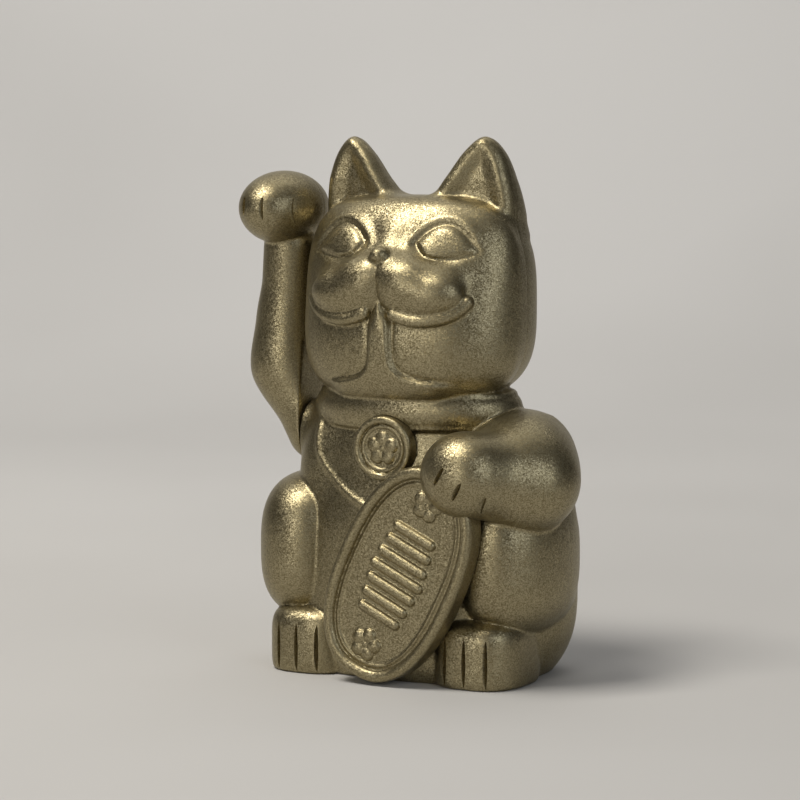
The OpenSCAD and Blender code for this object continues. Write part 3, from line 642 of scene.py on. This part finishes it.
def carve(piece, *steps):
    """Cuts, keeps or joins tool meshes, given as (operation, tool)."""
    for operation, tool in steps:
        modifier = piece.modifiers.new("carve", "BOOLEAN")
        modifier.operation = operation
        modifier.object = tool
        modifier.solver = "MANIFOLD"
    graph = bpy.context.evaluated_depsgraph_get()
    made = bpy.data.meshes.new_from_object(piece.evaluated_get(graph))
    piece.modifiers.clear()
    old = piece.data
    piece.data = made
    bpy.data.meshes.remove(old)
    made.name = piece.name
    return piece


def copy_piece(piece, name):
    twin = piece.copy()
    twin.data = piece.data.copy()
    twin.name = name
    bpy.context.scene.collection.objects.link(twin)
    return twin


def drop(*tools):
    """Deletes tools that have done their work."""
    for tool in tools:
        mesh = tool.data
        bpy.data.objects.remove(tool)
        bpy.data.meshes.remove(mesh)


def shade(piece, angle):
    """Smooth shading, with sharp edges above an angle in degrees."""
    mesh = piece.data
    mesh.polygons.foreach_set("use_smooth", [True] * len(mesh.polygons))
    mesh.set_sharp_from_angle(angle=math.radians(angle))


def finish_piece(piece, body, slot, material, *nodes):
    """Paints a piece and puts it on its body in place of CAD nodes."""
    piece.data.materials.clear()
    piece.data.materials.append(material)
    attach(piece, body)
    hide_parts(*nodes)


# Local axes of the coin, the medal, the pivot and the screws
def coin_place(u, v, w):
    c, s = math.cos(COIN_TILT), math.sin(COIN_TILT)
    return COIN_C[0] + u * c + v * s, COIN_C[1] - w, COIN_C[2] + v * c - u * s


def medal_place(u, v, w):
    return MEDAL_C[0] + u, MEDAL_C[1] - w, MEDAL_C[2] + v


def pivot_place(u, v, w):
    return w, u, PIVOT_Z + v


def screw_place(spot):
    return lambda u, v, w: (spot[0] + v, w, spot[1] + u)


def coin_outline(grow, n=96):
    """The coin's oval, grown on all sides."""
    def squared(t):
        return math.copysign(abs(t) ** COIN_ROUND, t)

    turns = [math.tau * i / n for i in range(n)]
    return [(squared(math.cos(t)) * (COIN_B + grow), squared(math.sin(t)) * (COIN_A + grow)) for t in turns]


# Coin and medal
def blossom(u, v, reach, r):
    """Five round petals about a small middle."""
    turns = [math.tau * k / 5 for k in range(5)]
    petals = [np.hypot(u - reach * math.sin(t), v - reach * math.cos(t)) for t in turns]
    return np.maximum(max_of([dome(d, r) for d in petals]), 0.8 * dome(np.hypot(u, v), 0.5 * r))


def coin_edge(u, v):
    """Distance inside the coin's outline."""
    a, b = np.abs(u / COIN_B), np.abs(v / COIN_A)
    k = (a ** COIN_POWER + b ** COIN_POWER) ** (1 / COIN_POWER) + 1e-6
    slope = np.hypot((a / k) ** (COIN_POWER - 1) / COIN_B, (b / k) ** (COIN_POWER - 1) / COIN_A)
    return (1 - k) / np.maximum(slope, 1e-3)


def coin_bar(u, v, i):
    """Distance to one of the bars, which shorten away from the middle."""
    half, height = BAR_HALF - BAR_SHRINK * abs(i), BAR_PITCH * i
    return path_distance(u, v, [(-half, height), (half, height)])


def coin_form(p):
    """A domed rim with a fine line inside it, seven bars and two blossoms."""
    u, v, w = p
    inside = coin_edge(u, v)
    bars = [dome(coin_bar(u, v, i), BAR_R) for i in range(-3, 4)]
    stamps = [blossom(u, v - s * (COIN_A - STAMP_IN), 2.6, PETAL_R) for s in (-1, 1)]
    top = COIN_T - COIN_RIM_H + COIN_RIM_H * dome(inside - COIN_RIM_R, COIN_RIM_R)
    top = top + 0.5 * line(inside - COIN_LINE_IN, 0.5)
    top = top + BAR_H * max_of(bars) + STAMP_H * max_of(stamps)
    return smax(np.maximum(w - top, -w), -inside, 0.6)


def medal_form(p):
    """A domed rim with a bead inside it and a blossom."""
    u, v, w = p
    r = np.hypot(u, v)
    top = MEDAL_T - MEDAL_RIM + MEDAL_RIM * dome(r - (MEDAL_R - MEDAL_RIM), MEDAL_RIM)
    top = top + 0.45 * dome(r - (MEDAL_R - 2.9), 0.6)
    top = top + 0.9 * blossom(u, v, 2.7, PETAL_R)
    return smax(np.maximum(w - top, -w), r - MEDAL_R, 0.4)


def relief_piece(name, form, half_w, half_h, height, place):
    """A piece formed lying flat and then put in place."""
    right, top = half_w + FORM_MARGIN, half_h + FORM_MARGIN
    piece = form_mesh(name, form, (-right, -top, -1), (right, top, height + FORM_MARGIN), COIN_STEP)
    for vertex in piece.data.vertices:
        u, v, w = vertex.co / MM
        vertex.co = Vector(place(u, v, w)) * MM
    piece.data.update()
    shade(piece, COIN_SHARP)
    return piece


# Materials
def node_tree(name):
    material = bpy.data.materials.new(name)
    material.use_nodes = True
    tree = material.node_tree
    shader = tree.nodes["Principled BSDF"]
    place = tree.nodes.new("ShaderNodeTexCoord")
    return material, tree, shader, place.outputs["Object"]


def noise(tree, where, scale, detail=2.0):
    node = tree.nodes.new("ShaderNodeTexNoise")
    node.inputs["Scale"].default_value = scale
    node.inputs["Detail"].default_value = detail
    tree.links.new(where, node.inputs["Vector"])
    return node.outputs["Fac"]


def cells(tree, where, scale):
    node = tree.nodes.new("ShaderNodeTexVoronoi")
    node.inputs["Scale"].default_value = scale
    tree.links.new(where, node.inputs["Vector"])
    return node


def spread(tree, value, low, high, start=0.3, end=0.7):
    node = tree.nodes.new("ShaderNodeMapRange")
    for key, number in (("From Min", start), ("From Max", end), ("To Min", low), ("To Max", high)):
        node.inputs[key].default_value = number
    tree.links.new(value, node.inputs["Value"])
    return node.outputs["Result"]


def two_tone(tree, value, dark, light, start=0.35, end=0.65):
    node = tree.nodes.new("ShaderNodeValToRGB")
    node.color_ramp.elements[0].position = start
    node.color_ramp.elements[0].color = (*dark, 1)
    node.color_ramp.elements[1].position = end
    node.color_ramp.elements[1].color = (*light, 1)
    tree.links.new(value, node.inputs["Fac"])
    return node.outputs["Color"]


def bump(tree, shader, value, strength, distance):
    node = tree.nodes.new("ShaderNodeBump")
    node.inputs["Strength"].default_value = strength
    node.inputs["Distance"].default_value = distance
    tree.links.new(value, node.inputs["Height"])
    tree.links.new(node.outputs["Normal"], shader.inputs["Normal"])


def flake_normal(tree, shader, flakes, amount):
    """Each flake tips the surface its own way."""
    tip = tree.nodes.new("ShaderNodeVectorMath")
    tip.operation = "MULTIPLY_ADD"
    tip.inputs[1].default_value = (2 * amount, 2 * amount, 2 * amount)
    tip.inputs[2].default_value = (-amount, -amount, -amount)
    tree.links.new(flakes, tip.inputs[0])
    surface = tree.nodes.new("ShaderNodeNewGeometry")
    total = tree.nodes.new("ShaderNodeVectorMath")
    total.operation = "ADD"
    tree.links.new(surface.outputs["Normal"], total.inputs[0])
    tree.links.new(tip.outputs[0], total.inputs[1])
    unit = tree.nodes.new("ShaderNodeVectorMath")
    unit.operation = "NORMALIZE"
    tree.links.new(total.outputs[0], unit.inputs[0])
    tree.links.new(unit.outputs[0], shader.inputs["Normal"])


GOLD_DARK = (0.21, 0.174, 0.094)
GOLD_LIGHT = (0.40, 0.346, 0.214)
FLAKE_SCALE = 3600
FLAKE_TILT = 0.12


def gold_paint():
    """Satin gold paint with fine metal flakes."""
    material, tree, shader, where = node_tree("gold_paint")
    shader.inputs["Metallic"].default_value = 1.0
    flakes = cells(tree, where, FLAKE_SCALE)
    tone = tree.nodes.new("ShaderNodeSeparateColor")
    tree.links.new(flakes.outputs["Color"], tone.inputs["Color"])
    colour = two_tone(tree, tone.outputs["Red"], GOLD_DARK, GOLD_LIGHT, 0.05, 0.95)
    tree.links.new(colour, shader.inputs["Base Color"])
    rough = spread(tree, tone.outputs["Green"], 0.34, 0.48, 0.0, 1.0)
    tree.links.new(rough, shader.inputs["Roughness"])
    flake_normal(tree, shader, flakes.outputs["Color"], FLAKE_TILT)
    return material


def plain_finish(name, dark, light, rough, metallic=0.0, grain=1500.0, strength=0.15):
    """A moulded, plated or printed surface with its own fine grain."""
    material, tree, shader, where = node_tree(name)
    shader.inputs["Metallic"].default_value = metallic
    colour = two_tone(tree, noise(tree, where, grain / 12), dark, light)
    tree.links.new(colour, shader.inputs["Base Color"])
    shine = spread(tree, noise(tree, where, grain / 4), rough - 0.06, rough + 0.06)
    tree.links.new(shine, shader.inputs["Roughness"])
    bump(tree, shader, noise(tree, where, grain, 3.0), strength, 0.0001)
    return material


# Plain finishes: darker and lighter colour, roughness, metal share, grain and its strength
PLAIN_FINISHES = {
    "base_plastic": ((0.055, 0.042, 0.028), (0.075, 0.06, 0.04), 0.55, 0.0, 2400, 0.4),
    "natural_plastic": ((0.58, 0.55, 0.47), (0.66, 0.63, 0.55), 0.45),
    "plated_steel": ((0.48, 0.49, 0.51), (0.62, 0.62, 0.64), 0.3, 1.0),
    "brass": ((0.58, 0.40, 0.14), (0.72, 0.52, 0.21), 0.28, 1.0),
    "magnet": ((0.05, 0.05, 0.055), (0.09, 0.09, 0.10), 0.6),
    "copper_wire": ((0.45, 0.16, 0.06), (0.62, 0.26, 0.11), 0.3, 1.0),
    "board": ((0.012, 0.085, 0.03), (0.02, 0.12, 0.045), 0.4),
    "black_plastic": ((0.006, 0.006, 0.007), (0.012, 0.012, 0.013), 0.45),
    "blue_sleeve": ((0.010, 0.018, 0.085), (0.015, 0.03, 0.12), 0.3),
    "red_wire": ((0.35, 0.012, 0.01), (0.45, 0.02, 0.015), 0.35),
    "cell_jacket": ((0.016, 0.02, 0.03), (0.028, 0.034, 0.045), 0.3),
}
GOLD = gold_paint()
FINISHES = {"gold_paint": GOLD}
for slot, values in PLAIN_FINISHES.items():
    FINISHES[slot] = plain_finish(slot, *values)
for part in frame["record"]["subparts"]:
    cad = frame["nodes"][part["node"]]
    cad.data.materials.clear()
    cad.data.materials.append(FINISHES[part["material_slot"]])

# Shells
whole = form_mesh("whole", cat, *CAT_BOX, SHELL_STEP)
hollow = form_mesh("hollow", cat_hollow, *HOLLOW_BOX, HOLLOW_STEP)
front_side = half_space("front_side", -1)
back_side = half_space("back_side", 1)
axle_hole = prism("axle_hole", circle(AXLE_HOLE_R), pivot_place, BOSS_END_X - 1, AXLE_HOLE_END_X)
coin_seat = prism("coin_seat", coin_outline(FIT_GAP), coin_place, 0, COIN_T + FIT_GAP)
medal_seat = prism("medal_seat", circle(MEDAL_R + FIT_GAP), medal_place, 0, MEDAL_SEAT_H)
places = [screw_place(spot) for spot in CASE_SCREWS]
bosses = [prism("boss", circle(SCREW_BOSS_R, 32), place, -THROUGH, THROUGH) for place in places]
bores = [prism("bore", circle(SCREW_BORE_R, 32), place, SCREW_HEAD_Y, THROUGH) for place in places]
holes = [prism("hole", circle(SCREW_HOLE_R, 24), place, SCREW_TIP_Y, SCREW_HEAD_Y + 1) for place in places]
carve(hollow, *[("DIFFERENCE", boss) for boss in bosses])
toe_xs = [s * (FOOT_X + 0.3 + i * TOE_PITCH) for s in (-1, 1) for i in (-1, 0, 1)]
toe_lines = [((x, TOE_TOP_Z), (x, TOE_END_Z)) for x in toe_xs]
claw_tops = [(PAW[0] + 4.8 + CLAW_STEP[0] * i, PAW[2] - 1 + CLAW_STEP[1] * i) for i in (-1, 0, 1)]
claw_lines = [((x, z), (x + CLAW_RUN[0], z + CLAW_RUN[1])) for x, z in claw_tops]
toes = grooves("toes", cat, toe_lines, width=1.2, depth=1.4)
claws = grooves("claws", cat, claw_lines, width=1.3, depth=1.2)

rear_shell = copy_piece(whole, "cat_rear")
carve(rear_shell, ("INTERSECT", back_side), ("DIFFERENCE", hollow), ("DIFFERENCE", axle_hole),
      *[("DIFFERENCE", tool) for tool in bores + holes])
front_shell = whole
front_shell.name = "cat_front"
carve(front_shell, ("INTERSECT", front_side), ("DIFFERENCE", hollow), ("DIFFERENCE", axle_hole),
      ("DIFFERENCE", coin_seat), ("DIFFERENCE", medal_seat),
      *[("DIFFERENCE", tool) for tool in [toes, claws] + holes])
for shell, node in ((front_shell, "front_shell"), (rear_shell, "rear_shell")):
    shade(shell, SHELL_SHARP)
    finish_piece(shell, "housing", "gold_paint", GOLD, node)

# Raised arm
arm = form_mesh("arm", raised_arm, *ARM_BOX, ARM_STEP)
arm_inside = form_mesh("arm_inside", arm_hollow, *ARM_HOLLOW_BOX, HOLLOW_STEP)
hub_hole = prism("hub_hole", circle(HUB_R), pivot_place, HUB_END_X, 0)
raised_tops = [(ARM_PAW[0] + 2.2 + RAISED_CLAW_PITCH * i, ARM_PAW[2] + 3.4) for i in (-1, 0, 1)]
raised_lines = [((x, z), (x, z - run)) for (x, z), run in zip(raised_tops, RAISED_CLAW_RUNS)]
raised_claws = grooves("raised_claws", raised_arm, raised_lines, width=1.2, depth=1.1)
carve(arm, ("DIFFERENCE", arm_inside), ("DIFFERENCE", hub_hole), ("DIFFERENCE", raised_claws))
arm_rear = copy_piece(arm, "arm_rear")
carve(arm_rear, ("INTERSECT", back_side))
arm.name = "arm_front"
carve(arm, ("INTERSECT", front_side))
for half, node in ((arm, "arm_front_half"), (arm_rear, "arm_rear_half")):
    shade(half, SHELL_SHARP)
    finish_piece(half, "waving_arm", "gold_paint", GOLD, node)

drop(hollow, front_side, back_side, axle_hole, coin_seat, medal_seat, arm_inside, hub_hole,
     toes, claws, raised_claws, *bosses, *bores, *holes)

# Coin and medal
coin = relief_piece("koban", coin_form, COIN_B, COIN_A, COIN_T, coin_place)
finish_piece(coin, "housing", "gold_paint", GOLD, "koban_coin")
medal = relief_piece("medal", medal_form, MEDAL_R, MEDAL_R, MEDAL_T, medal_place)
finish_piece(medal, "housing", "gold_paint", GOLD, "collar_medal")

# Camera, at the photograph's viewing angle
CAMERA_AZIMUTH = math.radians(28)
CAMERA_RANGE = 0.780
CAMERA_Z = 0.152
AIM_RIGHT = -0.006
AIM_Z = 0.076
IMAGE_PX = 800
FOCAL_PX = 2790
SENSOR_MM = 36.0
BEHIND = Vector((-math.sin(CAMERA_AZIMUTH), math.cos(CAMERA_AZIMUTH), 0))


def add_camera():
    s, c = math.sin(CAMERA_AZIMUTH), math.cos(CAMERA_AZIMUTH)
    right = Vector((c, s, 0))
    eye = Vector((s * CAMERA_RANGE, -c * CAMERA_RANGE, CAMERA_Z))
    aim = right * AIM_RIGHT + Vector((0, 0, AIM_Z))
    data = bpy.data.cameras.new("camera")
    data.sensor_fit = "HORIZONTAL"
    data.sensor_width = SENSOR_MM
    data.lens = SENSOR_MM * FOCAL_PX / IMAGE_PX
    camera = bpy.data.objects.new("camera", data)
    camera.location = eye
    camera.rotation_euler = (aim - eye).to_track_quat("-Z", "Y").to_euler()
    bpy.context.scene.collection.objects.link(camera)
    bpy.context.scene.camera = camera


def add_light(name, place, aim, size, power, colour):
    data = bpy.data.lights.new(name, "AREA")
    data.shape = "RECTANGLE"
    data.size, data.size_y = size
    data.energy = power
    data.color = colour
    lamp = bpy.data.objects.new(name, data)
    lamp.location = place
    lamp.rotation_euler = (Vector(aim) - Vector(place)).to_track_quat("-Z", "Y").to_euler()
    bpy.context.scene.collection.objects.link(lamp)


def add_floor():
    """A pale floor that curves up into the backdrop."""
    half, front, back, rise, bend = 12.0, -12.0, 1.1, 2.4, 0.5
    profile = [(front, 0.0), (back - bend, 0.0)]
    profile += [(back - bend + bend * math.sin(t), bend - bend * math.cos(t))
                for t in [math.radians(6 * i) for i in range(1, 16)]]
    profile.append((back, rise))
    side = Vector((BEHIND.y, -BEHIND.x, 0))
    points = [tuple(BEHIND * d + side * s * half + Vector((0, 0, z))) for d, z in profile for s in (-1, 1)]
    faces = [[2 * i, 2 * i + 1, 2 * i + 3, 2 * i + 2] for i in range(len(profile) - 1)]
    floor = add_mesh("floor", points, faces)
    shade(floor, FLOOR_SHARP)
    material, tree, shader, where = node_tree("floor_paper")
    paper = two_tone(tree, noise(tree, where, 3), (0.50, 0.49, 0.475), (0.54, 0.53, 0.515))
    tree.links.new(paper, shader.inputs["Base Color"])
    shader.inputs["Roughness"].default_value = 0.9
    floor.data.materials.append(material)


def add_world():
    world = bpy.data.worlds.new("studio")
    world.use_nodes = True
    backdrop = world.node_tree.nodes["Background"]
    backdrop.inputs["Color"].default_value = (0.30, 0.30, 0.32, 1)
    backdrop.inputs["Strength"].default_value = 0.2
    bpy.context.scene.world = world


add_camera()
add_floor()
add_world()

# Lights
MIDDLE = (0, 0, 0.08)
add_light("key", (-0.26, -0.42, 1.08), MIDDLE, size=(0.42, 0.42), power=10.5, colour=(1.0, 0.96, 0.89))
add_light("front", (-0.05, -1.1, 0.32), MIDDLE, size=(0.3, 0.5), power=2.2, colour=(1.0, 0.97, 0.92))
add_light("fill", (0.85, -0.35, 0.40), MIDDLE, size=(0.5, 0.6), power=1.7, colour=(0.88, 0.93, 1.0))
add_light("top", (0.05, 0.25, 0.95), MIDDLE, size=(0.5, 0.4), power=0.6, colour=(1.0, 0.98, 0.94))
add_light("backdrop", BEHIND * 0.5 + Vector((0, 0, 0.9)), BEHIND * 1.1 + Vector((0, 0, 0.3)),
          size=(1.4, 0.3), power=5.4, colour=(1.0, 0.99, 0.97))
bpy.context.scene.view_settings.view_transform = "Standard"
